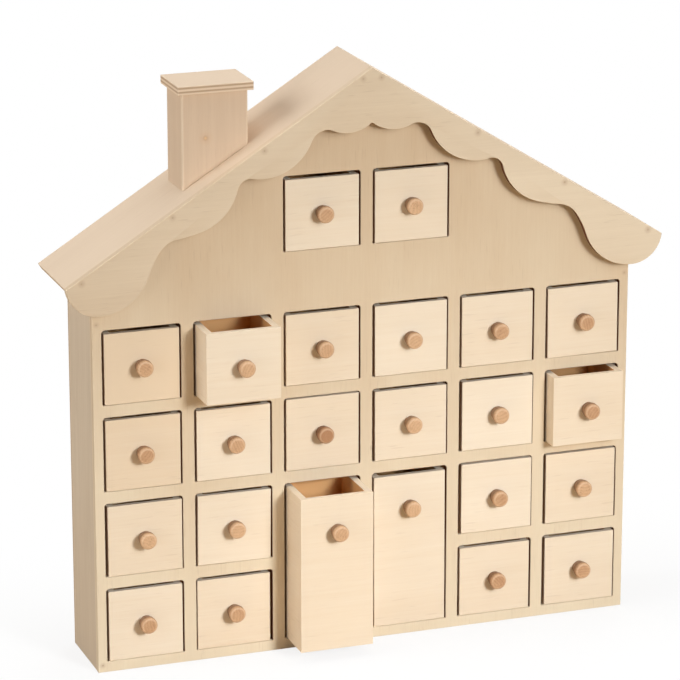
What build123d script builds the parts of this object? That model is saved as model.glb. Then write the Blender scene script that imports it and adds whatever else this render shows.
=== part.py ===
"""House-shaped wooden advent calendar: a plywood case with 24 small drawers.

Millimetres. +X to the right, +Y to the back, +Z up.
The origin is the middle of the underside of the case.
"""

import os
from math import cos, radians, sin, tan

from build123d import *

# The openings and the grid that they stand in
columns = 6
rows = 4
opening_width = 44.0
opening_height = 41.8
opening_ease = 1.2
stile = 7.0
rail = 6.9
bottom_rail = 6.0
side_margin = 5.1
attic_rise = 33.8

# The case
body_depth = 48.0
front_ply = 4.0
back_ply = 3.0
wall_ply = 4.0
shelf_ply = 4.0
divider_ply = 4.0
lap_clearance = 0.1

# The roof: headroom from the attic openings up to the ridge, and how far it stands out
attic_headroom = 52.9
roof_pitch = 32.0
roof_ply = 4.0
eave_overhang = 16.0
roof_overhang = 4.5

# The scalloped fascia: how deep it hangs in the middle, and its wave as shares of reach and depth
fascia_ply = 4.0
fascia_depth = 29.9
cusp_angle = 39.0
wave_shares = [
    (0.130, 0.632),
    (0.199, 0.544),
    (0.395, 0.438),
    (0.442, 0.439),
    (0.560, 0.735),
    (0.640, 0.546),
    (0.696, 0.536),
    (0.734, 0.830),
    (0.899, 0.900),
]

# The chimney on the left slope
chimney_width = 37.0
chimney_depth = 26.5
chimney_height = 52.9
chimney_place = 82.7
chimney_setback = 16.5
cap_overhang = 2.5
cap_ply = 4.7

# The drawers
drawer_ply = 4.0
drawer_side_gap = 1.1
drawer_top_gap = 1.5
drawer_running_gap = 0.2
drawer_back_gap = 0.3

# How far three of the drawers stand out
upper_pull = 19.0
middle_pull = 10.0
tall_pull = 24.0

# The turned knobs: a foot that flares out to a round head with an eased rim
knob_sides = 32
knob_foot_radius = 3.9
knob_radius = 4.6
knob_flare = 3.4
knob_rim = 1.2
knob_rim_fall = 1.4
knob_length = 7.3

# What follows from these sizes
column_pitch = opening_width + stile
row_pitch = opening_height + rail
body_half = side_margin + (columns * column_pitch - stile) / 2
inner_half = body_half - wall_ply
front_reach = body_depth / 2
inner_reach = front_reach - front_ply
back_reach = body_depth / 2 - back_ply
inner_depth = inner_reach + back_reach
attic_sill = bottom_rail + (rows - 1) * row_pitch + opening_height + attic_rise
tall_height = opening_height + row_pitch
tall_columns = (columns // 2 - 1, columns // 2)
slope = tan(radians(roof_pitch))
under_ridge = attic_sill + opening_height + attic_headroom
ridge_height = under_ridge + roof_ply / cos(radians(roof_pitch))
wall_top = under_ridge - slope * body_half
eave_reach = body_half + eave_overhang
roof_reach = front_reach + roof_overhang

# Planes that face the front: the faces of the front and back panels, and the roof's front edge
front_plane = Plane.XZ.offset(front_reach)
inner_plane = Plane.XZ.offset(inner_reach)
back_plane = Plane.XZ.offset(-back_reach)
roof_plane = Plane.XZ.offset(roof_reach)


def column_x(column):
    """Middle of a column, counted from 0 at the left."""
    return (column - (columns - 1) / 2) * column_pitch


def divider_x(line):
    """Middle of the divider to the right of a column."""
    return column_x(line) + column_pitch / 2


def sill(row):
    """Height of a row's sill, counted from 0 at the bottom."""
    return bottom_rail + row * row_pitch


def roof_top(x):
    """Height of the roof's upper face."""
    return ridge_height - slope * abs(x)


def roof_underside(x):
    """Height of the roof's lower face."""
    return under_ridge - slope * abs(x)


# Every drawer as its column, its sill and the height of its opening, from the attic down.
# In the two lowest rows the middle columns hold one tall drawer each.
cells = [(column, attic_sill, opening_height) for column in tall_columns]
for row in range(rows - 1, 1, -1):
    cells += [(column, sill(row), opening_height) for column in range(columns)]
for column in range(columns):
    if column in tall_columns:
        cells.append((column, sill(0), tall_height))
    else:
        cells.append((column, sill(1), opening_height))
cells += [(column, sill(0), opening_height) for column in range(columns) if column not in tall_columns]

# Three drawers, by number, stand partly open
pulls = {4: upper_pull, 14: middle_pull, 17: tall_pull}

os.makedirs("parts", exist_ok=True)

# Outline of the house under its roof, which the front and back panels share
with BuildSketch() as gable:
    with BuildLine():
        Polyline(
            (-body_half, 0),
            (body_half, 0),
            (body_half, wall_top),
            (0, under_ridge),
            (-body_half, wall_top),
            close=True,
        )
    make_face()

# The two kinds of opening, with eased corners
with BuildSketch() as small_opening:
    Rectangle(opening_width, opening_height)
    chamfer(small_opening.vertices(), length=opening_ease)
with BuildSketch() as tall_opening:
    Rectangle(opening_width, tall_height)
    chamfer(tall_opening.vertices(), length=opening_ease)

# Front panel: a gabled sheet with an opening for each drawer
with BuildPart() as front_panel:
    with BuildSketch(front_plane):
        add(gable.sketch)
        for column, bottom, height in cells:
            opening = tall_opening if height > opening_height else small_opening
            with Locations((column_x(column), bottom + height / 2)):
                add(opening.sketch, mode=Mode.SUBTRACT)
    extrude(amount=-front_ply)
front_panel.part.label = "front_panel"
export_step(front_panel.part, "parts/front_panel.step")

# Back panel: the same gabled outline, whole
with BuildPart() as back_panel:
    with BuildSketch(back_plane):
        add(gable.sketch)
    extrude(amount=-back_ply)
back_panel.part.label = "back_panel"
export_step(back_panel.part, "parts/back_panel.step")

# Side walls between the two panels, their tops cut to the roof's slope
with BuildPart() as right_wall:
    with BuildSketch(inner_plane):
        with BuildLine():
            Polyline(
                (inner_half, 0),
                (body_half, 0),
                (body_half, wall_top),
                (inner_half, roof_underside(inner_half)),
                close=True,
            )
        make_face()
    extrude(amount=-inner_depth)
right_wall.part.label = "right_wall"
export_step(right_wall.part, "parts/right_wall.step")

with BuildPart() as left_wall:
    mirror(right_wall.part, about=Plane.YZ)
left_wall.part.label = "left_wall"
export_step(left_wall.part, "parts/left_wall.step")

# Floor: the lowest drawers run on it, so its top is level with their sills
with BuildPart() as floor_panel:
    with BuildSketch(inner_plane):
        with Locations((0, bottom_rail / 2)):
            Rectangle(2 * inner_half, bottom_rail)
    extrude(amount=-inner_depth)
floor_panel.part.label = "floor_panel"
export_step(floor_panel.part, "parts/floor_panel.step")

# Shelves: each is level with the sills of its row and has laps from the back for the dividers
lap_width = divider_ply + 2 * lap_clearance
lap_depth = inner_depth / 2 + lap_clearance
tall_side = abs(divider_x(tall_columns[0] - 1)) + divider_ply / 2
attic_half = min(inner_half, (under_ridge - attic_sill) / slope)
shelf_spans = [(-inner_half, -tall_side, sill(1)), (tall_side, inner_half, sill(1))]
shelf_spans += [(-inner_half, inner_half, sill(row)) for row in range(2, rows)]
shelf_boards = []
for start, end, top in shelf_spans:
    crossings = [divider_x(line) for line in range(columns - 1) if start < divider_x(line) < end]
    with BuildPart() as shelf:
        with BuildSketch(Plane.XY.offset(top)):
            with Locations(((start + end) / 2, (back_reach - inner_reach) / 2)):
                Rectangle(end - start, inner_depth)
            with Locations(*[(x, back_reach - lap_depth / 2) for x in crossings]):
                Rectangle(lap_width, lap_depth, mode=Mode.SUBTRACT)
        extrude(amount=-shelf_ply)
    shelf_boards.append(shelf.part)

# The attic floor lies on the dividers, under the attic drawers
with BuildPart() as attic_floor:
    with BuildSketch(inner_plane):
        with Locations((0, attic_sill - shelf_ply / 2)):
            Rectangle(2 * attic_half, shelf_ply)
    extrude(amount=-inner_depth)
shelf_boards.append(attic_floor.part)
shelves = Compound(label="shelves", children=shelf_boards)
export_step(shelves, "parts/shelves.step")

# Dividers from the floor to the attic floor, with laps from the front for the shelves
divider_top = attic_sill - shelf_ply
divider_boards = []
for line in range(columns - 1):
    x = divider_x(line)
    crossed = [top for start, end, top in shelf_spans if start < x < end]
    with BuildPart() as divider:
        with BuildSketch(Plane.YZ.offset(x - divider_ply / 2)):
            with Locations(((back_reach - inner_reach) / 2, (bottom_rail + divider_top) / 2)):
                Rectangle(inner_depth, divider_top - bottom_rail)
            for top in crossed:
                with Locations((lap_depth / 2 - inner_reach, top - shelf_ply / 2)):
                    Rectangle(lap_depth, shelf_ply + 2 * lap_clearance, mode=Mode.SUBTRACT)
        extrude(amount=divider_ply)
    divider_boards.append(divider.part)

# Dividers beside the attic drawers, their tops cut to the slopes
for line in range(tall_columns[0] - 1, tall_columns[-1] + 1):
    x = divider_x(line)
    left = x - divider_ply / 2
    right = x + divider_ply / 2
    with BuildPart() as attic_divider:
        with BuildSketch(inner_plane):
            with BuildLine():
                Polyline(
                    (left, attic_sill),
                    (right, attic_sill),
                    (right, roof_underside(right)),
                    (x, roof_underside(x)),
                    (left, roof_underside(left)),
                    close=True,
                )
            make_face()
        extrude(amount=-inner_depth)
    divider_boards.append(attic_divider.part)
dividers = Compound(label="dividers", children=divider_boards)
export_step(dividers, "parts/dividers.step")

# Roof boards: plumb at the ridge, square at the eaves, level with the back of the case
eave_height = roof_top(eave_reach)
roof_length = roof_reach + body_depth / 2
with BuildPart() as roof_right:
    with BuildSketch(roof_plane):
        with BuildLine():
            Polyline(
                (0, under_ridge),
                (0, ridge_height),
                (eave_reach, eave_height),
                (
                    eave_reach - roof_ply * sin(radians(roof_pitch)),
                    eave_height - roof_ply * cos(radians(roof_pitch)),
                ),
                close=True,
            )
        make_face()
    extrude(amount=-roof_length)
roof_right.part.label = "roof_right"
export_step(roof_right.part, "parts/roof_right.step")

with BuildPart() as roof_left:
    mirror(roof_right.part, about=Plane.YZ)
roof_left.part.label = "roof_left"
export_step(roof_left.part, "parts/roof_left.step")

# Fascia: one board whose lower edge is a run of arcs, each tangent to the one before, mirrored at the ridge
wave = [(0, ridge_height - fascia_depth)]
for reach_share, depth_share in wave_shares:
    x = reach_share * eave_reach
    wave.append((x, roof_top(x) - depth_share * fascia_depth))
wave.append((eave_reach, eave_height))
with BuildPart() as fascia:
    with BuildSketch(roof_plane):
        with BuildLine():
            direction = (cos(radians(cusp_angle)), -sin(radians(cusp_angle)))
            for start, end in zip(wave[:-1], wave[1:]):
                arc = TangentArc(start, end, tangent=direction)
                direction = arc % 1
            Polyline((eave_reach, eave_height), (0, ridge_height), wave[0])
        make_face()
        mirror(about=Plane.YZ)
    extrude(amount=fascia_ply)
fascia.part.label = "fascia"
export_step(fascia.part, "parts/fascia.step")

# Chimney: a block with its foot cut to the left slope
chimney_left = -chimney_place - chimney_width / 2
chimney_right = -chimney_place + chimney_width / 2
chimney_top = roof_top(chimney_left) + chimney_height
chimney_plane = Plane.XZ.offset(roof_reach + fascia_ply - chimney_setback)
with BuildPart() as chimney:
    with BuildSketch(chimney_plane):
        with BuildLine():
            Polyline(
                (chimney_left, roof_top(chimney_left)),
                (chimney_right, roof_top(chimney_right)),
                (chimney_right, chimney_top),
                (chimney_left, chimney_top),
                close=True,
            )
        make_face()
    extrude(amount=-chimney_depth)
chimney.part.label = "chimney"
export_step(chimney.part, "parts/chimney.step")

# Chimney cap: a plate that stands out all round
chimney_middle = chimney_setback + chimney_depth / 2 - roof_reach - fascia_ply
with BuildPart() as chimney_cap:
    with BuildSketch(Plane.XY.offset(chimney_top)):
        with Locations((-chimney_place, chimney_middle)):
            Rectangle(chimney_width + 2 * cap_overhang, chimney_depth + 2 * cap_overhang)
    extrude(amount=cap_ply)
chimney_cap.part.label = "chimney_cap"
export_step(chimney_cap.part, "parts/chimney_cap.step")

# The knob that every drawer has, with its foot on the XZ plane
with BuildPart() as turned_knob:
    with BuildSketch(Plane.XZ):
        RegularPolygon(knob_radius, knob_sides)
    extrude(amount=knob_length)
    end = turned_knob.faces().sort_by(Axis.Y)[0]
    chamfer(end.edges(), length=knob_rim, length2=knob_rim_fall, reference=end)
    foot = turned_knob.faces().sort_by(Axis.Y)[-1]
    chamfer(foot.edges(), length=knob_radius - knob_foot_radius, length2=knob_flare, reference=foot)

# Drawers and knobs, each drawer a box of five boards
drawer_width = opening_width - 2 * drawer_side_gap
drawer_length = front_reach + back_reach - drawer_back_gap
knob_drop = (opening_height - drawer_running_gap - drawer_top_gap) / 2
for number, (column, bottom, height) in enumerate(cells, start=1):
    pull = pulls.get(number, 0)
    x = column_x(column)
    base = bottom + drawer_running_gap
    drawer_height = height - drawer_running_gap - drawer_top_gap
    knob_z = base + drawer_height - knob_drop
    face_plane = Plane.XZ.offset(front_reach + pull)
    board_plane = face_plane.offset(-drawer_ply)
    board_length = drawer_length - drawer_ply

    # Front: covers the ends of the other boards
    with BuildPart() as drawer_front:
        with BuildSketch(face_plane):
            with Locations((x, base + drawer_height / 2)):
                Rectangle(drawer_width, drawer_height)
        extrude(amount=-drawer_ply)

    # Sides: as tall as the front
    side_boards = []
    for side_x in (x - (drawer_width - drawer_ply) / 2, x + (drawer_width - drawer_ply) / 2):
        with BuildPart() as drawer_side:
            with BuildSketch(board_plane):
                with Locations((side_x, base + drawer_height / 2)):
                    Rectangle(drawer_ply, drawer_height)
            extrude(amount=-board_length)
        side_boards.append(drawer_side.part)

    # Bottom: between the sides, under the back
    with BuildPart() as drawer_bottom:
        with BuildSketch(board_plane):
            with Locations((x, base + drawer_ply / 2)):
                Rectangle(drawer_width - 2 * drawer_ply, drawer_ply)
        extrude(amount=-board_length)

    # Back: stands on the bottom between the sides
    with BuildPart() as drawer_back:
        with BuildSketch(board_plane.offset(-board_length)):
            with Locations((x, base + (drawer_height + drawer_ply) / 2)):
                Rectangle(drawer_width - 2 * drawer_ply, drawer_height - drawer_ply)
        extrude(amount=drawer_ply)

    boards = [drawer_front.part, *side_boards, drawer_bottom.part, drawer_back.part]
    drawer = Compound(label=f"drawer_{number:02d}", children=boards)
    export_step(drawer, f"parts/drawer_{number:02d}.step")

    # Knob: glued to the front by its flat foot
    with BuildPart() as knob:
        with Locations((x, -front_reach - pull, knob_z)):
            add(turned_knob.part)
    knob.part.label = f"knob_{number:02d}"
    export_step(knob.part, f"parts/knob_{number:02d}.step")
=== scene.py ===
# %% [markdown]
# # A wooden advent calendar in the shape of a house
# The real object is a small plywood house with 24 drawers, each with a turned beech knob.
# Every board is bare wood, so the whole look rests on three things: crisp sheets with
# lightly sanded edges, grain that runs the right way on each board, and soft light.
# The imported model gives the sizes. Each piece made here stands where its solid stands.

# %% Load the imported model
import math
import random

import bmesh
import bpy
from mathutils import Matrix, Vector


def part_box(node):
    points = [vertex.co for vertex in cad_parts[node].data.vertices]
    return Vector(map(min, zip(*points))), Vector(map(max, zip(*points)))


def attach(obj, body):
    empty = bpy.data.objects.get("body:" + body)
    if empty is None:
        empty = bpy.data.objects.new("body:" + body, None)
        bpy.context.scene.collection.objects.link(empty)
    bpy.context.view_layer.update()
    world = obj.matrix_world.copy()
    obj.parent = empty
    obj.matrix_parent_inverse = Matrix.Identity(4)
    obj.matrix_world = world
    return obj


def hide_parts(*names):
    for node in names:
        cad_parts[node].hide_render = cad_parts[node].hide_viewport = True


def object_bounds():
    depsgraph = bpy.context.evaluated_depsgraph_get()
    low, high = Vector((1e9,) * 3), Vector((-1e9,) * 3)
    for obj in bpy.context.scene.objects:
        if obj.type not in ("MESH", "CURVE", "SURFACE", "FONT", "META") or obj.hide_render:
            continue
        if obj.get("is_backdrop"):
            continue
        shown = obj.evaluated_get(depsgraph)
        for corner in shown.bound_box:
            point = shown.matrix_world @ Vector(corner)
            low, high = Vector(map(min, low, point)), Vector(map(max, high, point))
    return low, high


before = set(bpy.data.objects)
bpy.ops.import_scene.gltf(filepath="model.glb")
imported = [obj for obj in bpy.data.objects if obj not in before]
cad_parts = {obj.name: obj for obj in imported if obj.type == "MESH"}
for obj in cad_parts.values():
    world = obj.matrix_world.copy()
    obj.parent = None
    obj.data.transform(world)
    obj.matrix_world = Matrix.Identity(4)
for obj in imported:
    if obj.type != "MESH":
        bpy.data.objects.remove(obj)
cad_low, cad_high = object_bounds()
scene = bpy.context.scene
scene.view_settings.view_transform = "Standard"
draw = random.Random(24)
MM = 0.001
WELD = MM / 1000

# %% [markdown]
# ## Where the brads sit
# Small pins hold the fascia to the roof's edge and the front panel to the walls. Their places
# come first, because the wood round each head is a little bruised and stained, which belongs to
# the finish of the board. The chimney has one faint knot.


# %% Places of brads, and marks on the boards
def srgb(red, green, blue):
    """A colour as a screen shows it, 0 to 255, in the linear values that sockets take."""
    shares = [value / 255 for value in (red, green, blue)]
    return (*[s / 12.92 if s <= 0.04045 else ((s + 0.055) / 1.055) ** 2.4 for s in shares], 1)


PITCH = math.radians(32)
BRAD_SHARES = (0.03, 0.355, 0.655, 0.95)
BRAD_DROP = 2.2 * MM
BRAD_INSET = 2.4 * MM
LOW_BRAD, HIGH_BRAD = 4.0 * MM, 197.4 * MM
BRUISE, BRUISE_STRENGTH = srgb(168, 132, 100), 0.3
FASCIA_BRUISE, PANEL_BRUISE = 2.8 * MM, 2.4 * MM
KNOT_X, KNOT_Z = -88.0 * MM, 292.0 * MM
KNOT_HALO, KNOT_RING, KNOT_HEART = 5.0 * MM, 2.3 * MM, 1.3 * MM
fascia_low, fascia_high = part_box("fascia")
panel_low, panel_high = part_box("front_panel")
fascia_brads = []
for share in BRAD_SHARES:
    for side in (-1, 1):
        x = side * share * fascia_high.x
        z = fascia_high.z - math.tan(PITCH) * abs(x) - BRAD_DROP / math.cos(PITCH)
        fascia_brads.append((x, fascia_low.y, z))
panel_brads = [
    (panel_low.x + BRAD_INSET, panel_low.y, LOW_BRAD),
    (panel_low.x + BRAD_INSET, panel_low.y, HIGH_BRAD),
    (panel_high.x - BRAD_INSET, panel_low.y, HIGH_BRAD),
]
fascia_marks = [(place, FASCIA_BRUISE, BRUISE_STRENGTH, BRUISE) for place in fascia_brads]
panel_marks = [(place, PANEL_BRUISE, BRUISE_STRENGTH, BRUISE) for place in panel_brads]
chimney_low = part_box("chimney")[0]
knot_place = Vector((KNOT_X, chimney_low.y, KNOT_Z))
knot_marks = [
    (knot_place, KNOT_HALO, 0.25, srgb(214, 168, 124)),
    (knot_place, KNOT_RING, 0.4, srgb(176, 132, 94)),
    (knot_place, KNOT_HEART, 0.7, srgb(236, 198, 150)),
]
print("brads", len(fascia_brads), "in the fascia,", len(panel_brads), "in the front panel")

# %% [markdown]
# ## Node trees as plain expressions
# Shader and geometry trees are long when each node is wired by hand. Two small classes keep
# them readable: a Wire is one output socket, and sums and products of wires add Math nodes.
# A Graph makes any other node from its type, its settings and the values of its sockets.


# %% Wires and graphs
class Wire:
    """One output socket. Arithmetic on it adds Math nodes to its graph."""

    def __init__(self, graph, socket):
        self.graph = graph
        self.socket = socket

    def out(self, name):
        """Another output of the same node."""
        return Wire(self.graph, self.socket.node.outputs[name])

    def __add__(self, other):
        return self.graph.math("ADD", self, other)

    def __radd__(self, other):
        return self.graph.math("ADD", other, self)

    def __sub__(self, other):
        return self.graph.math("SUBTRACT", self, other)

    def __rsub__(self, other):
        return self.graph.math("SUBTRACT", other, self)

    def __mul__(self, other):
        return self.graph.math("MULTIPLY", self, other)

    def __rmul__(self, other):
        return self.graph.math("MULTIPLY", other, self)

    def __truediv__(self, other):
        return self.graph.math("DIVIDE", self, other)

    def step(self, low, high):
        """0 below low, 1 above high, and smooth between."""
        span = {"Value": self, "From Min": low, "From Max": high}
        return self.graph.node("ShaderNodeMapRange", {"interpolation_type": "SMOOTHSTEP"}, span)


class Graph:
    """A node tree that is filled by calls."""

    def __init__(self, tree):
        self.tree = tree
        tree.nodes.clear()

    def node(self, kind, settings=None, inputs=None, output=0):
        """Adds a node: settings first, then the values or wires of its sockets."""
        made = self.tree.nodes.new(kind)
        for name, value in (settings or {}).items():
            setattr(made, name, value)
        for key, value in (inputs or {}).items():
            for one in value if isinstance(value, list) else [value]:
                if isinstance(one, Wire):
                    self.tree.links.new(one.socket, made.inputs[key])
                else:
                    made.inputs[key].default_value = one
        return Wire(self, made.outputs[output]) if made.outputs else made

    def math(self, operation, *values):
        """A Math node on numbers and wires."""
        return self.node("ShaderNodeMath", {"operation": operation}, dict(enumerate(values)))

    def vector(self, operation, first, second, output=0):
        """A Vector Math node."""
        return self.node("ShaderNodeVectorMath", {"operation": operation}, {0: first, 1: second}, output)

    def mix(self, factor, first, second):
        """A colour between two colours."""
        return self.node("ShaderNodeMix", {"data_type": "RGBA"}, {0: factor, 6: first, 7: second}, output=2)


def new_finish(name):
    """A material with an empty graph."""
    material = bpy.data.materials.new(name)
    material.use_nodes = True
    return material, Graph(material.node_tree)


print("wires and graphs ready")

# %% [markdown]
# ## Bare plywood
# Craft plywood has a peeled face veneer with faint streaks, short pores and a few flecks. On its
# cut edge pale and dark layers take turns, as every second veneer shows its end grain. Each
# board carries an attribute called grain: metres along the grain, metres across it, and its
# depth from 0 on one face to 1 on the other. One recipe then fits every board, whichever way it
# stands, and the layers need no mask, because the depth alone says which layer a point is in.
# Other attributes mark what was done to the wood and where shade is painted: eased strips are
# sanded pale, sawn edges are painted dark brown, partly as scorch and partly as painted shade for
# the gaps, and faces inside a drawer or the case get a warm painted shade. Marks are soft stains
# round a nail or a knot, given as a place, a radius, a strength and a colour.


# %% A recipe for plywood
LAST_LAYER = 0.9  # the far face lies inside the last layer, not on its border
BUMP_DEPTH = 0.3 * MM
PORE, FLECK, END_GRAIN = srgb(150, 112, 78), srgb(120, 88, 60), srgb(158, 118, 80)
# The second colour is the warm painted shade of faces inside the drawers and the case; the third is the
# dark of sawn edges, partly scorch and partly painted shade.
SANDED, WARM_SHADE, SCORCH_AND_SHADE = srgb(246, 230, 206), srgb(238, 184, 120), srgb(98, 46, 14)


def plywood(
    name, pale, dark, figure=0.5, streak=0.4, pore=0.5, fleck=0.5, layers=3, edge=0.5, lean=0.16, marks=()
):
    """A bare plywood finish between two colours, with the strength of each part of its grain."""
    material, g = new_finish(name)
    grain = g.node("ShaderNodeAttribute", {"attribute_name": "grain"}, output="Vector")
    tone = g.node("ShaderNodeAttribute", {"attribute_name": "tone"}, output="Fac")
    sanded = g.node("ShaderNodeAttribute", {"attribute_name": "eased"}, output="Fac")
    inner = g.node("ShaderNodeAttribute", {"attribute_name": "inner"}, output="Fac")
    sawn = g.node("ShaderNodeAttribute", {"attribute_name": "sawn"}, output="Fac")
    depth = g.node("ShaderNodeSeparateXYZ", {}, {0: grain}, output="Z")

    def noise(along, across, through, detail=2.0, roughness=0.5, bend=0.0):
        """Noise in waves per metre along and across the grain."""
        at = g.vector("MULTIPLY", grain, (along, across, through))
        sockets = {"Vector": at, "Scale": 1.0, "Detail": detail, "Roughness": roughness, "Distortion": bend}
        return g.node("ShaderNodeTexNoise", {}, sockets)

    bands = noise(2.2, 22, 0.6, 2.0, 0.5, 0.6)
    streaks = noise(9, 240, 5, 4.0, 0.62, 0.3)
    lines = noise(16, 620, 12, 2.0, 0.55, 0.2)
    fibres = noise(60, 1900, 40, 2.0, 0.6)
    clouds = noise(14, 24, 2, 3.0, 0.55)
    dashes = noise(70, 820, 30, 1.0, 0.5).step(0.62, 0.74) * clouds.step(0.4, 0.6)

    spots = g.node(
        "ShaderNodeTexVoronoi",
        {"feature": "F1"},
        {"Vector": g.vector("MULTIPLY", grain, (26, 60, 1)), "Scale": 1.0, "Randomness": 1.0},
    )
    chance = g.node("ShaderNodeSeparateColor", {}, {0: spots.out("Color")})
    flecks = (1 - spots.step(0.02, 0.06)) * chance.step(0.86, 0.9)

    turn = g.math("FRACT", depth * (layers / 2 * LAST_LAYER))
    end_grain = turn.step(0.46, 0.54) * (1 - turn.step(0.94, 1.0))

    shade = 0.5 + figure * (bands - 0.5) + streak * (streaks + lines - 1.0) + 0.22 * (fibres - 0.5)
    shade = shade + lean * tone + 0.35 * (clouds - 0.5)
    colour = g.mix(g.node("ShaderNodeClamp", {}, {0: shade}), pale, dark)
    colour = g.mix(pore * 0.35 * dashes, colour, PORE)
    colour = g.mix(fleck * 0.5 * flecks, colour, FLECK)
    colour = g.mix(end_grain * edge, colour, END_GRAIN)
    colour = g.mix(sanded * 0.3, colour, SANDED)
    # Painted warm shade on faces inside, then the dark of sawn edges, partly scorch and partly painted
    # shade.
    colour = g.mix(inner * 0.9, colour, WARM_SHADE)
    colour = g.mix(sawn * 0.95, colour, SCORCH_AND_SHADE)
    height = 0.5 * fibres + 0.3 * streaks - 0.6 * dashes - 0.5 * end_grain

    at = g.node("ShaderNodeTexCoord", {}, {}, output="Object")
    for place, radius, share, stain in marks:
        away = g.vector("DISTANCE", at, tuple(place), output="Value") / radius + 0.5 * (clouds - 0.5)
        colour = g.mix((1 - away.step(0.1, 1.0)) * share, colour, stain)

    bump = g.node("ShaderNodeBump", {}, {"Strength": 0.08, "Distance": BUMP_DEPTH, "Height": height})
    shader = {
        "Base Color": colour,
        "Roughness": 0.7 + 0.16 * streaks,
        "Specular IOR Level": 0.1,
        "Normal": bump,
    }
    surface = g.node("ShaderNodeBsdfPrincipled", {}, shader)
    g.node("ShaderNodeOutputMaterial", {}, {"Surface": surface})
    return material


print("plywood recipe ready")

# %% [markdown]
# ## One finish for each kind of board
# The boards were cut from different sheets. The front is calm, with its grain upright, and it gets
# darker towards the gable, partly for darker veneer and partly as painted shade where the light
# falls off. The fascia is blotchy, with flecks. The roof and the cap are pinkish and show five
# layers on their edges. The chimney and the drawers show no layers: the chimney is solid wood, and
# the drawers' edges are sanded smooth. One recipe with named strengths keeps them related, as
# boards from one workshop are.

# %% Plywood finishes
finishes = {
    "front_ply": plywood(
        "front_ply",
        pale=srgb(239, 226, 201),
        dark=srgb(212, 186, 154),
        figure=0.45,
        streak=0.12,
        pore=0.3,
        fleck=0.4,
        edge=0.3,
        lean=0.38,
        marks=panel_marks,
    ),
    "fascia_ply": plywood(
        "fascia_ply",
        pale=srgb(239, 223, 198),
        dark=srgb(214, 193, 166),
        figure=0.6,
        streak=0.26,
        pore=0.4,
        fleck=0.9,
        edge=0.0,
        marks=fascia_marks,
    ),
    "roof_ply": plywood(
        "roof_ply",
        pale=srgb(239, 218, 193),
        dark=srgb(227, 204, 179),
        figure=0.4,
        streak=0.25,
        pore=0.2,
        fleck=0.2,
        layers=5,
        edge=0.55,
    ),
    "chimney_wood": plywood(
        "chimney_wood",
        pale=srgb(231, 209, 184),
        dark=srgb(210, 184, 158),
        streak=0.35,
        pore=0.2,
        fleck=0.2,
        layers=1,
        edge=0.0,
        lean=0.1,
        marks=knot_marks,
    ),
    "case_ply": plywood(
        "case_ply", pale=srgb(225, 210, 189), dark=srgb(203, 184, 161), figure=0.6, streak=0.5, pore=0.4
    ),
    "drawer_ply": plywood(
        "drawer_ply",
        pale=srgb(248, 236, 217),
        dark=srgb(234, 213, 185),
        streak=0.3,
        pore=0.3,
        fleck=0.6,
        layers=1,
        edge=0.0,
        lean=0.3,
    ),
}
print("plywood finishes", sorted(finishes))

# %% [markdown]
# ## Turned beech
# Beech shows small dark flecks where its rays are cut, and on the flat end of a knob also the
# growth rings, as faint arcs. Each knob is turned from the solid, so its pattern belongs to
# a block of wood and not to the surface: an attribute called turned keeps the place of each
# point in its own block. The rim of the head is made pale, partly as sanded wood and partly as a
# painted highlight, and the waist under the head is painted dark, as the shade under the head.


# %% A recipe for beech
PITH = (0.011, 0.0, 0.007)
RING_RATE = 4200  # radians of the ring pattern for each metre out from the pith
# The second colour is partly sanded wood and partly a painted highlight on the rim; the third is painted
# shade on the waist under the head.
RAY_FLECK, PALE_RIM_AND_HIGHLIGHT, PAINTED_WAIST_SHADE = srgb(146, 100, 66), srgb(236, 206, 172), srgb(96, 60, 36)


def beech(name, pale, dark):
    """A bare turned beech finish."""
    material, g = new_finish(name)
    block = g.node("ShaderNodeAttribute", {"attribute_name": "turned"}, output="Vector")
    tone = g.node("ShaderNodeAttribute", {"attribute_name": "tone"}, output="Fac")
    sanded = g.node("ShaderNodeAttribute", {"attribute_name": "eased"}, output="Fac")
    waist = g.node("ShaderNodeAttribute", {"attribute_name": "waist"}, output="Fac")

    def noise(across, along, detail=2.0, roughness=0.5, bend=0.0):
        """Noise in waves per metre across the block and along it."""
        at = g.vector("MULTIPLY", block, (across, along, across))
        sockets = {"Vector": at, "Scale": 1.0, "Detail": detail, "Roughness": roughness, "Distortion": bend}
        return g.node("ShaderNodeTexNoise", {}, sockets)

    blotches = noise(260, 60, 2.0, 0.55)
    flecks = noise(1900, 240, 1.0, 0.5).step(0.56, 0.7)
    fibres = noise(1300, 60, 3.0, 0.6)
    away = g.vector("DISTANCE", block, PITH, output="Value")
    rings = g.math("SINE", (away * RING_RATE) + (blotches * 5)) * 0.5 + 0.5

    shade = 0.25 + 0.55 * (blotches - 0.2) + 0.22 * (rings - 0.5) + 0.3 * (fibres - 0.5) + 0.3 * tone
    colour = g.mix(g.node("ShaderNodeClamp", {}, {0: shade}), pale, dark)
    colour = g.mix(flecks * 0.38, colour, RAY_FLECK)
    # A pale rim, partly sanded and partly a painted highlight; then painted shade on the waist, darker
    # towards the foot.
    colour = g.mix(sanded * 0.35, colour, PALE_RIM_AND_HIGHLIGHT)
    colour = g.mix(waist.step(0.0, 0.4) * 0.65, colour, PAINTED_WAIST_SHADE)
    height = fibres - 0.5 * flecks
    bump = g.node("ShaderNodeBump", {}, {"Strength": 0.2, "Distance": BUMP_DEPTH, "Height": height})
    shader = {
        "Base Color": colour,
        "Roughness": 0.5 + 0.16 * fibres,
        "Specular IOR Level": 0.35,
        "Normal": bump,
    }
    surface = g.node("ShaderNodeBsdfPrincipled", {}, shader)
    g.node("ShaderNodeOutputMaterial", {}, {"Surface": surface})
    return material


finishes["knob_beech"] = beech("knob_beech", srgb(220, 180, 141), srgb(177, 130, 93))
print("beech finish ready")

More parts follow.
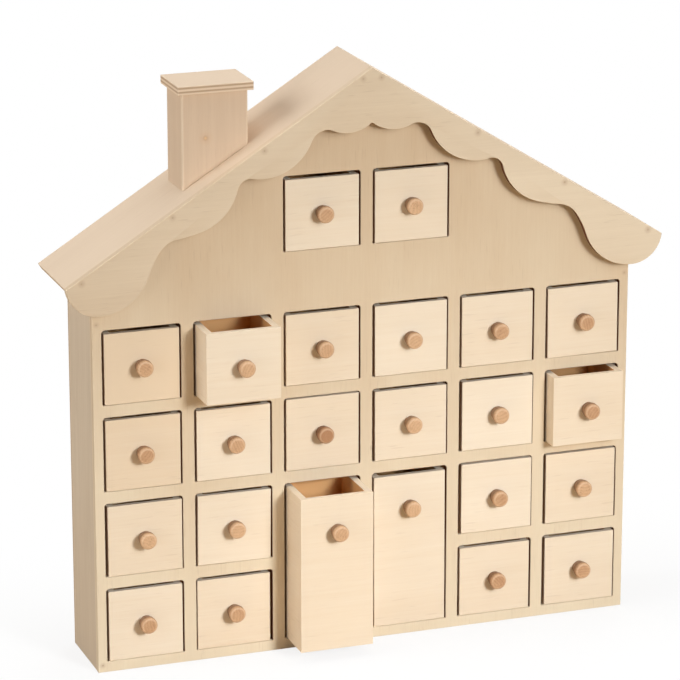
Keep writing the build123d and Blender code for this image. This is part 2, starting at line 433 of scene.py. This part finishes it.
# %% [markdown]
# ## Boards from solids
# A sawn board never has a razor edge: a few strokes of sandpaper take off about a third of a
# millimetre, and that thin strip catches the light. A copy of the solid is merged, its flat
# faces are joined and its corners bevelled. The strips are marked, so that the finish can make
# them a little paler, and each board gets its grain attribute.

# %% Easing and marking boards
SHARP, CRISP = math.radians(25), math.radians(20)
FLAT = 0.008  # radians between two faces that count as one
EASE = 0.28 * MM


def solid_copy(node):
    """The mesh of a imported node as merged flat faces."""
    bm = bmesh.new()
    bm.from_mesh(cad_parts[node].data)
    bmesh.ops.remove_doubles(bm, verts=bm.verts, dist=WELD)
    bmesh.ops.dissolve_limit(bm, angle_limit=FLAT, verts=bm.verts, edges=bm.edges)
    return bm


def ease_edges(bm, width, steps=2, wanted=None):
    """Bevels the sharp edges and marks the new strips."""
    eased = bm.faces.layers.float.get("eased") or bm.faces.layers.float.new("eased")
    edges = [e for e in bm.edges if len(e.link_faces) == 2 and e.calc_face_angle() > SHARP]
    if wanted:
        edges = [e for e in edges if wanted(e)]
    done = bmesh.ops.bevel(
        bm, geom=edges, offset=width, offset_type="OFFSET", segments=steps, profile=0.5, affect="EDGES"
    )
    for face in done["faces"]:
        face[eased] = 1.0


def boards_in(bm):
    """The separate boards of a mesh, each as a list of its vertices."""
    bm.verts.index_update()
    seen = set()
    found = []
    for first in bm.verts:
        if first.index in seen:
            continue
        board, waiting = [], [first]
        seen.add(first.index)
        while waiting:
            vert = waiting.pop()
            board.append(vert)
            for edge in vert.link_edges:
                other = edge.other_vert(vert)
                if other.index not in seen:
                    seen.add(other.index)
                    waiting.append(other)
        found.append(board)
    return found


def mark_grain(bm, along, through=None, swing=1.0):
    """Writes each board's grain attribute. A board with no given face direction uses its thinnest one."""
    grain = bm.verts.layers.float_vector.new("grain")
    tone = bm.verts.layers.float.new("tone")
    for board in boards_in(bm):
        face = through
        if face is None:
            spans = [max(v.co[i] for v in board) - min(v.co[i] for v in board) for i in range(3)]
            face = Vector([1.0 if i == spans.index(min(spans)) else 0.0 for i in range(3)])
        run = next(d for d in along if abs(d.dot(face)) < 0.5)
        across = face.cross(run)
        depths = [v.co.dot(face) for v in board]
        low, span = min(depths), max(depths) - min(depths)
        start, side, own = draw.uniform(0, 4), draw.uniform(0, 4), draw.uniform(-swing, swing)
        for vert in board:
            share = (vert.co.dot(face) - low) / span
            vert[grain] = (vert.co.dot(run) + start, vert.co.dot(across) + side, share)
            vert[tone] = own


def add_piece(mesh, name, slot, body, nodes):
    """Makes the object of a finished mesh, gives it its finish and ties it to its body."""
    for stale in [a.name for a in mesh.attributes if a.name == "custom_normal"]:
        mesh.attributes.remove(mesh.attributes[stale])
    mesh.name = name
    mesh.materials.clear()
    mesh.materials.append(finishes[slot])
    piece = bpy.data.objects.new(name, mesh)
    scene.collection.objects.link(piece)
    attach(piece, body)
    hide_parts(*nodes)
    return piece


def board_piece(bm, name, slot, body, nodes):
    """Turns finished boards into a piece with crisp faces."""
    mesh = bpy.data.meshes.new(name)
    bm.to_mesh(mesh)
    bm.free()
    mesh.shade_smooth()
    mesh.set_sharp_from_angle(angle=CRISP)
    return add_piece(mesh, name, slot, body, nodes)


X, Y, Z = Vector((1, 0, 0)), Vector((0, 1, 0)), Vector((0, 0, 1))
print("board helpers ready")

# %% [markdown]
# ## The case and the roof
# These are plain sheets, so copies of their solids serve. The grain runs up the walls and the
# back, along the shelves and down the slopes of the roof. Where the fascia meets the roof boards
# the edges were sanded as one, so no edge is eased at that joint. The cut edges of the fascia's
# scallops are painted dark, partly as the scorch of the scroll saw and partly as painted shade, and
# the fascia is painted a little paler to the right: painted light, as the light falls stronger there.
# The shelves and dividers inside the case get a warm painted shade.

# %% Case boards
slope_right = Vector((math.cos(PITCH), 0, -math.sin(PITCH)))
slope_left = Vector((-math.cos(PITCH), 0, -math.sin(PITCH)))
case_boards = {
    "back_panel": ("case_ply", [Z], None),
    "left_wall": ("case_ply", [Z], None),
    "right_wall": ("case_ply", [Z], None),
    "floor_panel": ("case_ply", [X], None),
    "shelves": ("case_ply", [X], None),
    "dividers": ("case_ply", [Z], None),
    "roof_left": ("roof_ply", [slope_left], slope_left.cross(Y)),
    "roof_right": ("roof_ply", [slope_right], slope_right.cross(Y)),
    "fascia": ("fascia_ply", [X], Y),
    "chimney_cap": ("roof_ply", [X], Z),
}
INSIDE_BOARDS = ("shelves", "dividers")
FLUSH_BOARDS = ("roof_left", "roof_right", "fascia")
FLUSH_JOINT = fascia_high.y
PLAIN_END = 20.0 * MM  # the round end of the fascia, which is sanded clean
# The first number is a warm tint on the fascia's upper edge; the second is painted light: how much paler
# the fascia gets to the right, where the light falls stronger.
UPPER_WARMTH, FASCIA_LIGHT_FADE = 0.12, 1.4
BOARD_SWING = 0.5  # how far the tone of one board may differ


def off_the_joint(edge):
    """Whether an edge lies clear of the joint between the fascia and the roof boards."""
    return any(abs(vert.co.y - FLUSH_JOINT) > MM / 10 for vert in edge.verts)


def dress_fascia(bm, sawn, inner):
    """Marks the scallops' cut edges, dark as scorch and painted shade, and the warmer upper edge."""
    for face in bm.faces:
        scalloped = abs(face.calc_center_median().x) < fascia_high.x - PLAIN_END
        # The scallops' cut edges are painted dark: partly scorch, partly painted shade.
        if scalloped and face.normal.z < 0.3 and abs(face.normal.y) < 0.1:
            face[sawn] = 1.0
        if face.normal.z > 0.3:
            face[inner] = UPPER_WARMTH


for node, (slot, along, through) in case_boards.items():
    boards = solid_copy(node)
    ease_edges(boards, EASE, 2, off_the_joint if node in FLUSH_BOARDS else None)
    inner = boards.faces.layers.float.new("inner")
    sawn = boards.faces.layers.float.new("sawn")
    # The shelves and the dividers sit in the dark inside the case and get the warm painted shade all over.
    for face in boards.faces:
        face[inner] = 1.0 if node in INSIDE_BOARDS else 0.0
    mark_grain(boards, along, through, BOARD_SWING)
    if node == "fascia":
        dress_fascia(boards, sawn, inner)
        # Painted light: the fascia gets paler to the right, where the light falls stronger.
        tone = boards.verts.layers.float["tone"]
        for vert in boards.verts:
            vert[tone] -= FASCIA_LIGHT_FADE * vert.co.x / fascia_high.x
    piece = board_piece(boards, node + "_board", slot, "house", [node])
    print(node, len(piece.data.polygons), "faces")

# %% [markdown]
# ## The chimney
# The chimney is thicker wood. Its four uprights were rounded by hand, and its foot and its top
# only lightly sanded, so two rounds of easing with different widths give it its edges.

# %% Chimney
UPRIGHT_EASE = 1.1 * MM


def upright(edge):
    """Whether an edge runs up."""
    return abs((edge.verts[0].co - edge.verts[1].co).normalized().z) > 0.9


block = solid_copy("chimney")
ease_edges(block, UPRIGHT_EASE, 4, upright)
ease_edges(block, EASE, 2, lambda edge: not upright(edge))
mark_grain(block, [Z], Y)
chimney = board_piece(block, "chimney_block", "chimney_wood", "house", ["chimney"])
print("chimney", len(chimney.data.polygons), "faces")

# %% [markdown]
# ## The front panel
# The front is one sheet with 24 openings whose corners were rounded by the cutter. A flat
# curve with holes gives true round corners, its thickness and its sanded edges in one step,
# so it is drawn as a curve and then made a mesh. The openings follow from the drawers: each is
# wider than its drawer by a named gap. The lower corners are tighter, so that a drawer that sits
# to one side still clears them.

# %% Outlines of the front panel
SIDE_GAP, TOP_GAP, RUNNING_GAP = 1.1 * MM, 1.5 * MM, 0.2 * MM
CORNER, SILL_CORNER = 1.8 * MM, 0.6 * MM
CORNER_STEPS = 7
drawer_names = ["drawer_%02d" % number for number in range(1, 25)]


def rounded_opening(name):
    """The corners of a drawer's opening as points, clockwise seen from the front."""
    low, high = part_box(name)
    left, right = low.x - SIDE_GAP, high.x + SIDE_GAP
    bottom, top = low.z - RUNNING_GAP, high.z + TOP_GAP
    points = []
    for x, z, radius, turn in (
        (left + CORNER, top - CORNER, CORNER, 180),
        (right - CORNER, top - CORNER, CORNER, 90),
        (right - SILL_CORNER, bottom + SILL_CORNER, SILL_CORNER, 0),
        (left + SILL_CORNER, bottom + SILL_CORNER, SILL_CORNER, -90),
    ):
        for step in range(CORNER_STEPS + 1):
            angle = math.radians(turn - 90 * step / CORNER_STEPS)
            points.append((x + radius * math.cos(angle), z + radius * math.sin(angle)))
    return points


wall_top = panel_high.z - math.tan(PITCH) * panel_high.x
outline = [
    (panel_low.x, panel_low.z),
    (panel_high.x, panel_low.z),
    (panel_high.x, wall_top),
    (0, panel_high.z),
    (panel_low.x, wall_top),
]
openings = [rounded_opening(name) for name in drawer_names]
print("front panel outline", len(outline), "points,", len(openings), "openings of", len(openings[0]))

# %% Front panel as a sheet
sheet = bpy.data.curves.new("front_panel_sheet", "CURVE")
sheet.dimensions = "2D"
sheet.fill_mode = "BOTH"
sheet.extrude = (panel_high.y - panel_low.y) / 2 - EASE
sheet.bevel_depth = EASE
sheet.bevel_resolution = 1
sheet.offset = -EASE
for points in [outline, *openings]:
    spline = sheet.splines.new("POLY")
    spline.points.add(len(points) - 1)
    for point, (x, z) in zip(spline.points, points):
        point.co = (x, z, 0, 1)
    spline.use_cyclic_u = True
holder = bpy.data.objects.new("front_panel_sheet", sheet)
scene.collection.objects.link(holder)
flat = bpy.data.meshes.new_from_object(holder.evaluated_get(bpy.context.evaluated_depsgraph_get()))
bpy.data.objects.remove(holder)
panel = bmesh.new()
panel.from_mesh(flat)
middle = (panel_low.y + panel_high.y) / 2
for vert in panel.verts:
    vert.co = (vert.co.x, middle - vert.co.z, vert.co.y)
bmesh.ops.remove_doubles(panel, verts=panel.verts, dist=WELD)
bmesh.ops.recalc_face_normals(panel, faces=panel.faces)
print("front panel", len(panel.faces), "faces")

# %% [markdown]
# ## The colour of the front panel
# The cut edges of the openings are painted dark brown, partly as the cutter's scorch and partly as
# painted shade, which makes the gaps round the drawers dark. The sills are worn clean by the
# drawers, and the outer edges are sanded. The sheet gets darker towards the gable: its tone follows
# the height, partly for darker veneer and partly as painted shade where the light falls off.

# %% Front panel finished
RIM_SCORCH_AND_SHADE = 0.3
PANEL_MIDDLE = 150 * MM
strip = panel.faces.layers.float.new("eased")
sawn = panel.faces.layers.float.new("sawn")
for face in panel.faces:
    face[strip] = 1.0 if 0.1 < abs(face.normal.y) < 0.95 else 0.0
    place = face.calc_center_median()
    outer = abs(place.x) > panel_high.x - 2 * EASE or place.z < 2 * EASE
    if not outer and face.normal.z < 0.9:
        # Cut faces in the openings are painted dark, partly scorch and partly painted shade; the eased rims
        # get a share.
        face[sawn] = 1.0 if abs(face.normal.y) < 0.1 else RIM_SCORCH_AND_SHADE * face[strip]
mark_grain(panel, [Z], Y, 0.0)
lean = panel.verts.layers.float["tone"]
# Darker towards the gable: partly darker veneer, partly painted shade for the light that falls off upwards.
for vert in panel.verts:
    vert[lean] = vert.co.z / PANEL_MIDDLE - 1
front = board_piece(panel, "front_panel_sheet", "front_ply", "house", ["front_panel"])
print("front panel", len(front.data.polygons), "faces", [round(v / MM, 2) for v in front.dimensions])

# %% [markdown]
# ## The drawers
# Every drawer is the same glued box: a front that covers the ends of two sides, a bottom and a
# back between them. A rule like this suits Geometry Nodes: one tree takes the corners of the
# box and the thickness of its boards, and makes all five. Two heights come from one tree.


# %% A drawer tree
def new_tree(name, inputs):
    """A geometry tree with named inputs, its graph and the wires of its inputs."""
    tree = bpy.data.node_groups.new(name, "GeometryNodeTree")
    tree.interface.new_socket("Geometry", in_out="INPUT", socket_type="NodeSocketGeometry")
    for label, kind in inputs.items():
        tree.interface.new_socket(label, in_out="INPUT", socket_type="NodeSocket" + kind)
    tree.interface.new_socket("Geometry", in_out="OUTPUT", socket_type="NodeSocketGeometry")
    graph = Graph(tree)
    entry = graph.node("NodeGroupInput")
    return tree, graph, {label: entry.out(label) for label in ["Geometry", *inputs]}


def grow(tree, values, start=None):
    """Runs a tree on a passing object and returns its result as a plain mesh."""
    seed = bpy.data.objects.new("seed", start or bpy.data.meshes.new("seed"))
    scene.collection.objects.link(seed)
    modifier = seed.modifiers.new("grow", "NODES")
    modifier.node_group = tree
    for socket in tree.interface.items_tree:
        if socket.in_out == "INPUT" and socket.name in values:
            modifier[socket.identifier] = values[socket.name]
    mesh = bpy.data.meshes.new_from_object(seed.evaluated_get(bpy.context.evaluated_depsgraph_get()))
    bpy.data.objects.remove(seed)
    return mesh


box_inputs = {"Low": "Vector", "High": "Vector", "Ply": "Float", "Front": "Float", "Material": "Material"}
box_tree, g, wires = new_tree("drawer_box", box_inputs)
low, high, ply, face = wires["Low"], wires["High"], wires["Ply"], wires["Front"]
corner = g.node("ShaderNodeSeparateXYZ", {}, {0: low})
x0, y0, z0 = corner, corner.out("Y"), corner.out("Z")
corner = g.node("ShaderNodeSeparateXYZ", {}, {0: high})
x1, y1, z1 = corner, corner.out("Y"), corner.out("Z")
boards = []
for lows, highs in (
    ((x0, y0, z0), (x1, y0 + face, z1)),
    ((x0, y0 + face, z0), (x0 + ply, y1, z1)),
    ((x1 - ply, y0 + face, z0), (x1, y1, z1)),
    ((x0 + ply, y0 + face, z0), (x1 - ply, y1, z0 + ply)),
    ((x0 + ply, y1 - ply, z0 + ply), (x1 - ply, y1, z1)),
):
    first = g.node("ShaderNodeCombineXYZ", {}, dict(enumerate(lows)))
    last = g.node("ShaderNodeCombineXYZ", {}, dict(enumerate(highs)))
    cube = g.node("GeometryNodeMeshCube", {}, {"Size": g.vector("SUBTRACT", last, first)})
    centre = g.vector("MULTIPLY", g.vector("ADD", first, last), (0.5, 0.5, 0.5))
    boards.append(g.node("GeometryNodeTransform", {}, {"Geometry": cube, "Translation": centre}))
joined = g.node("GeometryNodeJoinGeometry", {}, {"Geometry": boards})
real = g.node("GeometryNodeRealizeInstances", {}, {"Geometry": joined})
dressed = g.node("GeometryNodeSetMaterial", {}, {"Geometry": real, "Material": wires["Material"]})
g.node("NodeGroupOutput", {}, {"Geometry": dressed})
print("drawer tree", len(box_tree.nodes), "nodes")

# %% [markdown]
# ## The play of the drawers
# No drawer of such a box fits like its neighbour. Each sits a little to one side of its opening,
# some lean, and some are lower than others, so the dark gap round each differs. A few drawers
# that sit furthest off have values of their own, and the rest share the usual ones. A few
# fronts are darker than the rest, partly for darker wood and partly as painted shade.

# %% Drawers
DRAWER_PLY = 4.0 * MM
FRONT_PLY = 3.2 * MM
DRAWER_EASE = 0.22 * MM
USUAL_SHIFT, USUAL_DROP = 0.15 * MM, 0.3 * MM
SHIFTS = {"drawer_13": 0.8 * MM, "drawer_19": 0.8 * MM, "drawer_24": 0.6 * MM, "drawer_12": 0.5 * MM}
SHIFTS |= {"drawer_15": 0.5 * MM, "drawer_20": 0.5 * MM, "drawer_06": 0.4 * MM, "drawer_22": -0.5 * MM}
LEANS = {"drawer_16": 0.3 * MM, "drawer_08": -0.3 * MM, "drawer_18": -0.3 * MM}
DROPS = {"drawer_18": 1.3 * MM, "drawer_01": 0.7 * MM, "drawer_03": 0.7 * MM, "drawer_11": -0.6 * MM}
DROPS |= {"drawer_19": -0.3 * MM, "drawer_20": -0.3 * MM}
# Darker fronts: partly darker wood, partly painted shade.
DARKER = {"drawer_03": 3.3, "drawer_05": 0.8, "drawer_09": 1.2, "drawer_11": 0.5}


def mark_inside(bm, centre, half):
    """Marks the faces that look into a drawer, for their warm painted shade."""
    inner = bm.faces.layers.float.new("inner")
    room = half - Vector((1, 1, 1)) * DRAWER_PLY / 2
    for face in bm.faces:
        place = face.calc_center_median() - centre
        walled = abs(place.x) < room.x and abs(place.y) < room.y and place.z > -room.z
        if walled and place.dot(face.normal) < 0:
            face[inner] = 1.0


settled = {}
for name in drawer_names:
    low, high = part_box(name)
    middle = Vector(((low.x + high.x) / 2, 0, (low.z + high.z) / 2))
    tilt = Matrix.Rotation(LEANS.get(name, 0) / (high.z - low.z), 4, "Y")
    slack = Vector((SHIFTS.get(name, USUAL_SHIFT), 0, 0))
    settled[name] = Matrix.Translation(middle + slack) @ tilt @ Matrix.Translation(-middle)
    high.z -= DROPS.get(name, USUAL_DROP)
    values = {"Low": low, "High": high, "Ply": DRAWER_PLY, "Front": FRONT_PLY}
    values["Material"] = finishes["drawer_ply"]
    box = bmesh.new()
    box.from_mesh(grow(box_tree, values))
    ease_edges(box, DRAWER_EASE)
    mark_inside(box, (low + high) / 2, (high - low) / 2)
    mark_grain(box, [X, Y], None, BOARD_SWING)
    tone = box.verts.layers.float["tone"]
    for vert in box.verts:
        vert[tone] += DARKER.get(name, 0)
    box.transform(settled[name])
    piece = board_piece(box, name + "_box", "drawer_ply", name, [name])
print("drawers", len(drawer_names), "each", len(piece.data.polygons), "faces")

# %% [markdown]
# ## The knobs
# A knob is turned on a lathe: a narrow foot flares to a round head with an eased rim and a flat
# end. The profile is drawn once as a line of points, and a tree does the turning: it rolls a
# grid round the axis and reads each row's radius and height from the profile. The same two
# numbers tell the rim of the head and the waist under it, so the tree writes both as attributes
# for the finish. Each knob is turned a little differently about its axis, so no two show the
# same end grain.

# %% A lathe tree
lathe, g, wires = new_tree(
    "lathe",
    {
        "Rows": "Int",
        "Sides": "Int",
        "Place": "Vector",
        "Turn": "Float",
        "Block": "Vector",
        "Tone": "Float",
        "Rim": "Float",
        "Face": "Float",
        "Material": "Material",
    },
)
profile = g.node("GeometryNodeMeshToCurve", {}, {"Mesh": wires["Geometry"]})
size = {"Size X": 1.0, "Size Y": 1.0, "Vertices X": wires["Rows"], "Vertices Y": wires["Sides"]}
grid = g.node("GeometryNodeMeshGrid", {}, size)
spot = g.node("ShaderNodeSeparateXYZ", {}, {0: g.node("GeometryNodeInputPosition")})
reading = {"Curves": profile, "Factor": spot + 0.5}
way = {"mode": "FACTOR", "use_all_curves": True}
sample = g.node("GeometryNodeSampleCurve", way, reading, output="Position")
radius_height = g.node("ShaderNodeSeparateXYZ", {}, {0: sample})
radius, height = radius_height, radius_height.out("Y")
angle = (spot.out("Y") + 0.5) * (2 * math.pi)


def round_axis(turn, along):
    """The place of a point of the profile, rolled round the axis by an angle."""
    sides = {0: radius * g.math("COSINE", turn), 1: along, 2: radius * g.math("SINE", turn)}
    return g.node("ShaderNodeCombineXYZ", {}, sides)


in_block = g.vector("ADD", round_axis(angle, height), wires["Block"])
in_place = g.vector("ADD", round_axis(angle + wires["Turn"], 0 - height), wires["Place"])
edge = g.math("GREATER_THAN", height, wires["Rim"]) * g.math("GREATER_THAN", radius, wires["Face"])
marked = grid
for label, kind, value in (
    ("turned", "FLOAT_VECTOR", in_block),
    # This attribute carries the painted shade of the waist: 0 at the rim, rising towards the foot.
    ("waist", "FLOAT", 1 - height / wires["Rim"]),
    ("eased", "FLOAT", edge),
    ("tone", "FLOAT", wires["Tone"]),
):
    sockets = {"Geometry": marked, "Name": label, "Value": value}
    domain = {"data_type": kind, "domain": "POINT"}
    marked = g.node("GeometryNodeStoreNamedAttribute", domain, sockets)
rolled = g.node("GeometryNodeSetPosition", {}, {"Geometry": marked, "Position": in_place})
closed = g.node("GeometryNodeMergeByDistance", {}, {"Geometry": rolled, "Distance": WELD})
smooth = g.node("GeometryNodeSetShadeSmooth", {}, {"Geometry": closed})
real = g.node("GeometryNodeRealizeInstances", {}, {"Geometry": smooth})
dressed = g.node("GeometryNodeSetMaterial", {}, {"Geometry": real, "Material": wires["Material"]})
g.node("NodeGroupOutput", {}, {"Geometry": dressed})
print("lathe tree", len(lathe.nodes), "nodes")

# %% [markdown]
# ## The profile of a knob
# The foot is nearly straight, then the wood flares to a broad head. The rim of the head is round,
# and a fine crease parts it from the flat end, where the turning tool changed direction. Only the
# rim needs a row of points, and an arc gives them.

# %% Knobs
FOOT, HEAD, FLARE, LENGTH = 3.9 * MM, 4.6 * MM, 3.4 * MM, 7.3 * MM
FACE, RIM = 3.9 * MM, 0.9 * MM
CREASE = 0.3 * MM
RIM_STEPS, ROWS, SIDES = 8, 44, 41
BLOCK_REACH = 4 * MM
REDDER = {"knob_11": 3.0, "knob_12": -1.2}
profile_points = [
    (0, 0),
    (FOOT, 0),
    (FOOT * 1.04, FLARE * 0.4),
    (HEAD * 0.97, FLARE * 0.86),
    (HEAD, FLARE * 1.15),
]
for step in range(RIM_STEPS + 1):
    bend = math.radians(90 * step / RIM_STEPS)
    out, up = (HEAD - FACE) * math.cos(bend), RIM * math.sin(bend)
    profile_points.append((FACE + out, LENGTH - CREASE - RIM + up))
profile_points += [(FACE - CREASE, LENGTH), (FACE * 0.5, LENGTH), (0, LENGTH)]
line = bpy.data.meshes.new("knob_profile")
steps = [(i, i + 1) for i in range(len(profile_points) - 1)]
line.from_pydata([(radius, height, 0) for radius, height in profile_points], steps, [])
for number, name in enumerate(drawer_names, start=1):
    node = "knob_%02d" % number
    low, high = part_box(node)
    values = {
        "Rows": ROWS,
        "Sides": SIDES,
        "Place": settled[name] @ Vector(((low.x + high.x) / 2, high.y, (low.z + high.z) / 2)),
        "Turn": draw.uniform(0, 2 * math.pi),
        "Block": Vector([draw.uniform(-1, 1) for axis in range(3)]) * BLOCK_REACH,
        "Tone": draw.uniform(-1, 1) + REDDER.get(node, 0),
        "Rim": LENGTH - 1.5 * CREASE,
        "Face": FACE - 1.5 * CREASE,
        "Material": finishes["knob_beech"],
    }
    mesh = grow(lathe, values, line.copy())
    shell = bmesh.new()
    shell.from_mesh(mesh)
    bmesh.ops.recalc_face_normals(shell, faces=shell.faces)
    volume = shell.calc_volume(signed=True)
    shell.to_mesh(mesh)
    shell.free()
    add_piece(mesh, node + "_turned", "knob_beech", name, [node])
print("knobs", len(drawer_names), "each", len(mesh.polygons), "faces", round(volume / MM**3), "cubic mm")

# %% [markdown]
# ## The brads
# Only the heads of the pins show, as dull specks. They repeat, so a tree sets one small dome on
# each point of a list.

# %% Brads
BRAD_RADIUS, BRAD_FLATNESS = 0.45 * MM, 0.1
material, g = new_finish("brad_steel")
at = g.node("ShaderNodeTexCoord", {}, {}, output="Object")
grime = g.node("ShaderNodeTexNoise", {}, {"Vector": at, "Scale": 1800.0, "Detail": 2.0})
steel = g.mix(grime, srgb(206, 183, 153), srgb(184, 158, 128))
shader = {"Base Color": steel, "Metallic": 0.1, "Roughness": 0.5 + 0.3 * grime}
surface = g.node("ShaderNodeBsdfPrincipled", {}, shader)
g.node("ShaderNodeOutputMaterial", {}, {"Surface": surface})
finishes["brad_steel"] = material

pin_tree, g, wires = new_tree("brads", {"Radius": "Float", "Flatness": "Float", "Material": "Material"})
dome = g.node("GeometryNodeMeshUVSphere", {}, {"Segments": 10, "Rings": 6, "Radius": wires["Radius"]})
squeeze = g.node("ShaderNodeCombineXYZ", {}, {0: 1.0, 1: wires["Flatness"], 2: 1.0})
pins = g.node(
    "GeometryNodeInstanceOnPoints", {}, {"Points": wires["Geometry"], "Instance": dome, "Scale": squeeze}
)
real = g.node("GeometryNodeRealizeInstances", {}, {"Geometry": pins})
smooth = g.node("GeometryNodeSetShadeSmooth", {}, {"Geometry": real})
dressed = g.node("GeometryNodeSetMaterial", {}, {"Geometry": smooth, "Material": wires["Material"]})
g.node("NodeGroupOutput", {}, {"Geometry": dressed})

pin_places = fascia_brads + panel_brads
places = bpy.data.meshes.new("brad_places")
places.from_pydata(pin_places, [], [])
sizes = {"Radius": BRAD_RADIUS, "Flatness": BRAD_FLATNESS, "Material": material}
mesh = grow(pin_tree, sizes, places)
brads = bpy.data.objects.new("brads", mesh)
scene.collection.objects.link(brads)
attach(brads, "house")
print("brads", len(pin_places), "with", len(mesh.polygons), "faces")

# %% [markdown]
# ## Floor and sky
# The photograph is a studio picture on white paper with a faint shadow at the foot. For the
# camera the floor turns to plain white away from the object, so that it reads as paper and still
# holds the shadow at the foot. For the light on the object the floor is warm and not very bright,
# and so is the weak sky: bare wood in a white corner throws warm light back into its own shadows.


# %% Floor and sky
def seen_rays(graph):
    """1 for the rays that show the background: from the camera, and through a gloss or a glass."""
    path = graph.node("ShaderNodeLightPath", {}, {}, output="Is Camera Ray")
    mirrored = graph.math("MAXIMUM", path, path.out("Is Glossy Ray"))
    return graph.math("MAXIMUM", mirrored, path.out("Is Transmission Ray"))


FLOOR_HALF = 6.0
WHITE_NEAR = 0.8
WHITE_REACH = 0.2
WARM_PAPER, PALE_PAPER, WHITE = (0.50, 0.355, 0.205, 1), (0.95, 0.95, 0.95, 1), (1, 1, 1, 1)
floor_mesh = bpy.data.meshes.new("floor")
floor_corners = [(x * FLOOR_HALF, y * FLOOR_HALF, 0) for x, y in ((-1, -1), (1, -1), (1, 1), (-1, 1))]
floor_mesh.from_pydata(floor_corners, [], [(0, 1, 2, 3)])
floor = bpy.data.objects.new("floor", floor_mesh)
scene.collection.objects.link(floor)
floor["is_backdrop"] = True
material, g = new_finish("paper")
matte = g.node("ShaderNodeBsdfDiffuse", {}, {"Color": WARM_PAPER})
pale = g.node("ShaderNodeBsdfDiffuse", {}, {"Color": PALE_PAPER})
white = g.node("ShaderNodeEmission", {}, {"Color": WHITE, "Strength": 1.0})
at = g.node("ShaderNodeTexCoord", {}, {}, output="Object")
beyond = g.vector("SUBTRACT", g.vector("ABSOLUTE", at, (0, 0, 0)), tuple(panel_high))
away = g.vector("MAXIMUM", beyond, (0, 0, 0))
distance = g.vector("LENGTH", away, (0, 0, 0), output="Value")
share = WHITE_NEAR + (1 - WHITE_NEAR) * distance.step(0.0, WHITE_REACH)
shown = g.node("ShaderNodeMixShader", {}, {0: share, 1: pale, 2: white})
paper = g.node("ShaderNodeMixShader", {}, {0: seen_rays(g), 1: matte, 2: shown})
g.node("ShaderNodeOutputMaterial", {}, {"Surface": paper})
floor_mesh.materials.append(material)

WARM_SKY, SKY_STRENGTH = (1, 0.68, 0.40, 1), 0.06
world = bpy.data.worlds.new("studio")
scene.world = world
world.use_nodes = True
g = Graph(world.node_tree)
fill = g.node("ShaderNodeBackground", {}, {"Color": WARM_SKY, "Strength": SKY_STRENGTH})
white = g.node("ShaderNodeBackground", {}, {"Color": WHITE, "Strength": 1.0})
sky = g.node("ShaderNodeMixShader", {}, {0: seen_rays(g), 1: fill, 2: white})
g.node("ShaderNodeOutputWorld", {}, {"Surface": sky})
print("floor and sky ready")

# %% [markdown]
# ## Lamps
# The key light stands in front, a little to the right and above, and it is aimed at the foot: the
# knobs and the open drawers throw short shadows to the left, and the front fades towards the
# gable. A wider softbox beside it lights the whole front. One at the left lights the roof past
# the chimney, a small card low at the left opens the left wall, one hangs above, and one stands
# behind, so that the back and the right wall aren't dark. The lamps at the front and the left are
# a little cool, against the warm light that the wood throws back.


# %% Lamps
def softbox(name, place, target, size, power, spread=180, tint=(1, 1, 1)):
    """A square area lamp that faces a target. A spread under 180 degrees fades to the sides."""
    lamp = bpy.data.lights.new(name, "AREA")
    lamp.shape = "SQUARE"
    lamp.size = size
    lamp.energy = power
    lamp.color = tint
    lamp.spread = math.radians(spread)
    obj = bpy.data.objects.new(name, lamp)
    obj.location = place
    obj.rotation_euler = (Vector(target) - Vector(place)).to_track_quat("-Z", "Y").to_euler()
    scene.collection.objects.link(obj)
    return obj


MIDDLE, FRONT_FOOT, LOW_WALL = (0, 0, 0.15), (-0.03, 0, -0.08), (-0.1, 0, 0.03)
COOL = (0.955, 0.985, 1.0)
lamps = [
    softbox("key", (0.31, -1.08, 0.47), FRONT_FOOT, size=0.22, power=0.95, spread=60, tint=COOL),
    softbox("front", (0.42, -1.25, 0.78), MIDDLE, size=0.55, power=6.2, tint=COOL),
    softbox("card", (-1.0, -0.55, 0.18), LOW_WALL, size=0.4, power=1.5, tint=COOL),
    softbox("left", (-1.28, 0.03, 0.88), MIDDLE, size=0.75, power=9.6, tint=COOL),
    softbox("top", (0.0, 0.1, 1.6), MIDDLE, size=1.0, power=9.6),
    softbox("back", (0.75, 1.2, 0.5), MIDDLE, size=0.8, power=8.5),
]
print("lamps", [lamp.name for lamp in lamps])

# %% [markdown]
# ## Camera
# The picture was taken from the left and a little above, with a long lens, so that near and far
# edges stay nearly parallel. Place, direction and lens were found together, from the corners of
# the openings, the foot of the case and the corners of the roof.

# %% Camera
SENSOR, LENS = 36.0, 198.66
CAMERA_PLACE = Vector((-668.178, -1858.791, 768.485)) * MM
CAMERA_LOOK = Vector((0.320699, 0.901249, -0.291382))
camera = bpy.data.cameras.new("camera")
camera.sensor_width = SENSOR
camera.lens = LENS
viewer = bpy.data.objects.new("camera", camera)
viewer.location = CAMERA_PLACE
viewer.rotation_euler = CAMERA_LOOK.to_track_quat("-Z", "Y").to_euler()
scene.collection.objects.link(viewer)
scene.camera = viewer
print("camera at", viewer.location[:])

# %% [markdown]
# ## Sizes
# The dressed house has to keep the size of its solids, so both boxes are put side by side.

# %% Sizes, and the end
new_low, new_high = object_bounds()
sizes = {"cad": [list(cad_low), list(cad_high)], "visual": [list(new_low), list(new_high)]}
print("visual box", new_low[:], new_high[:])
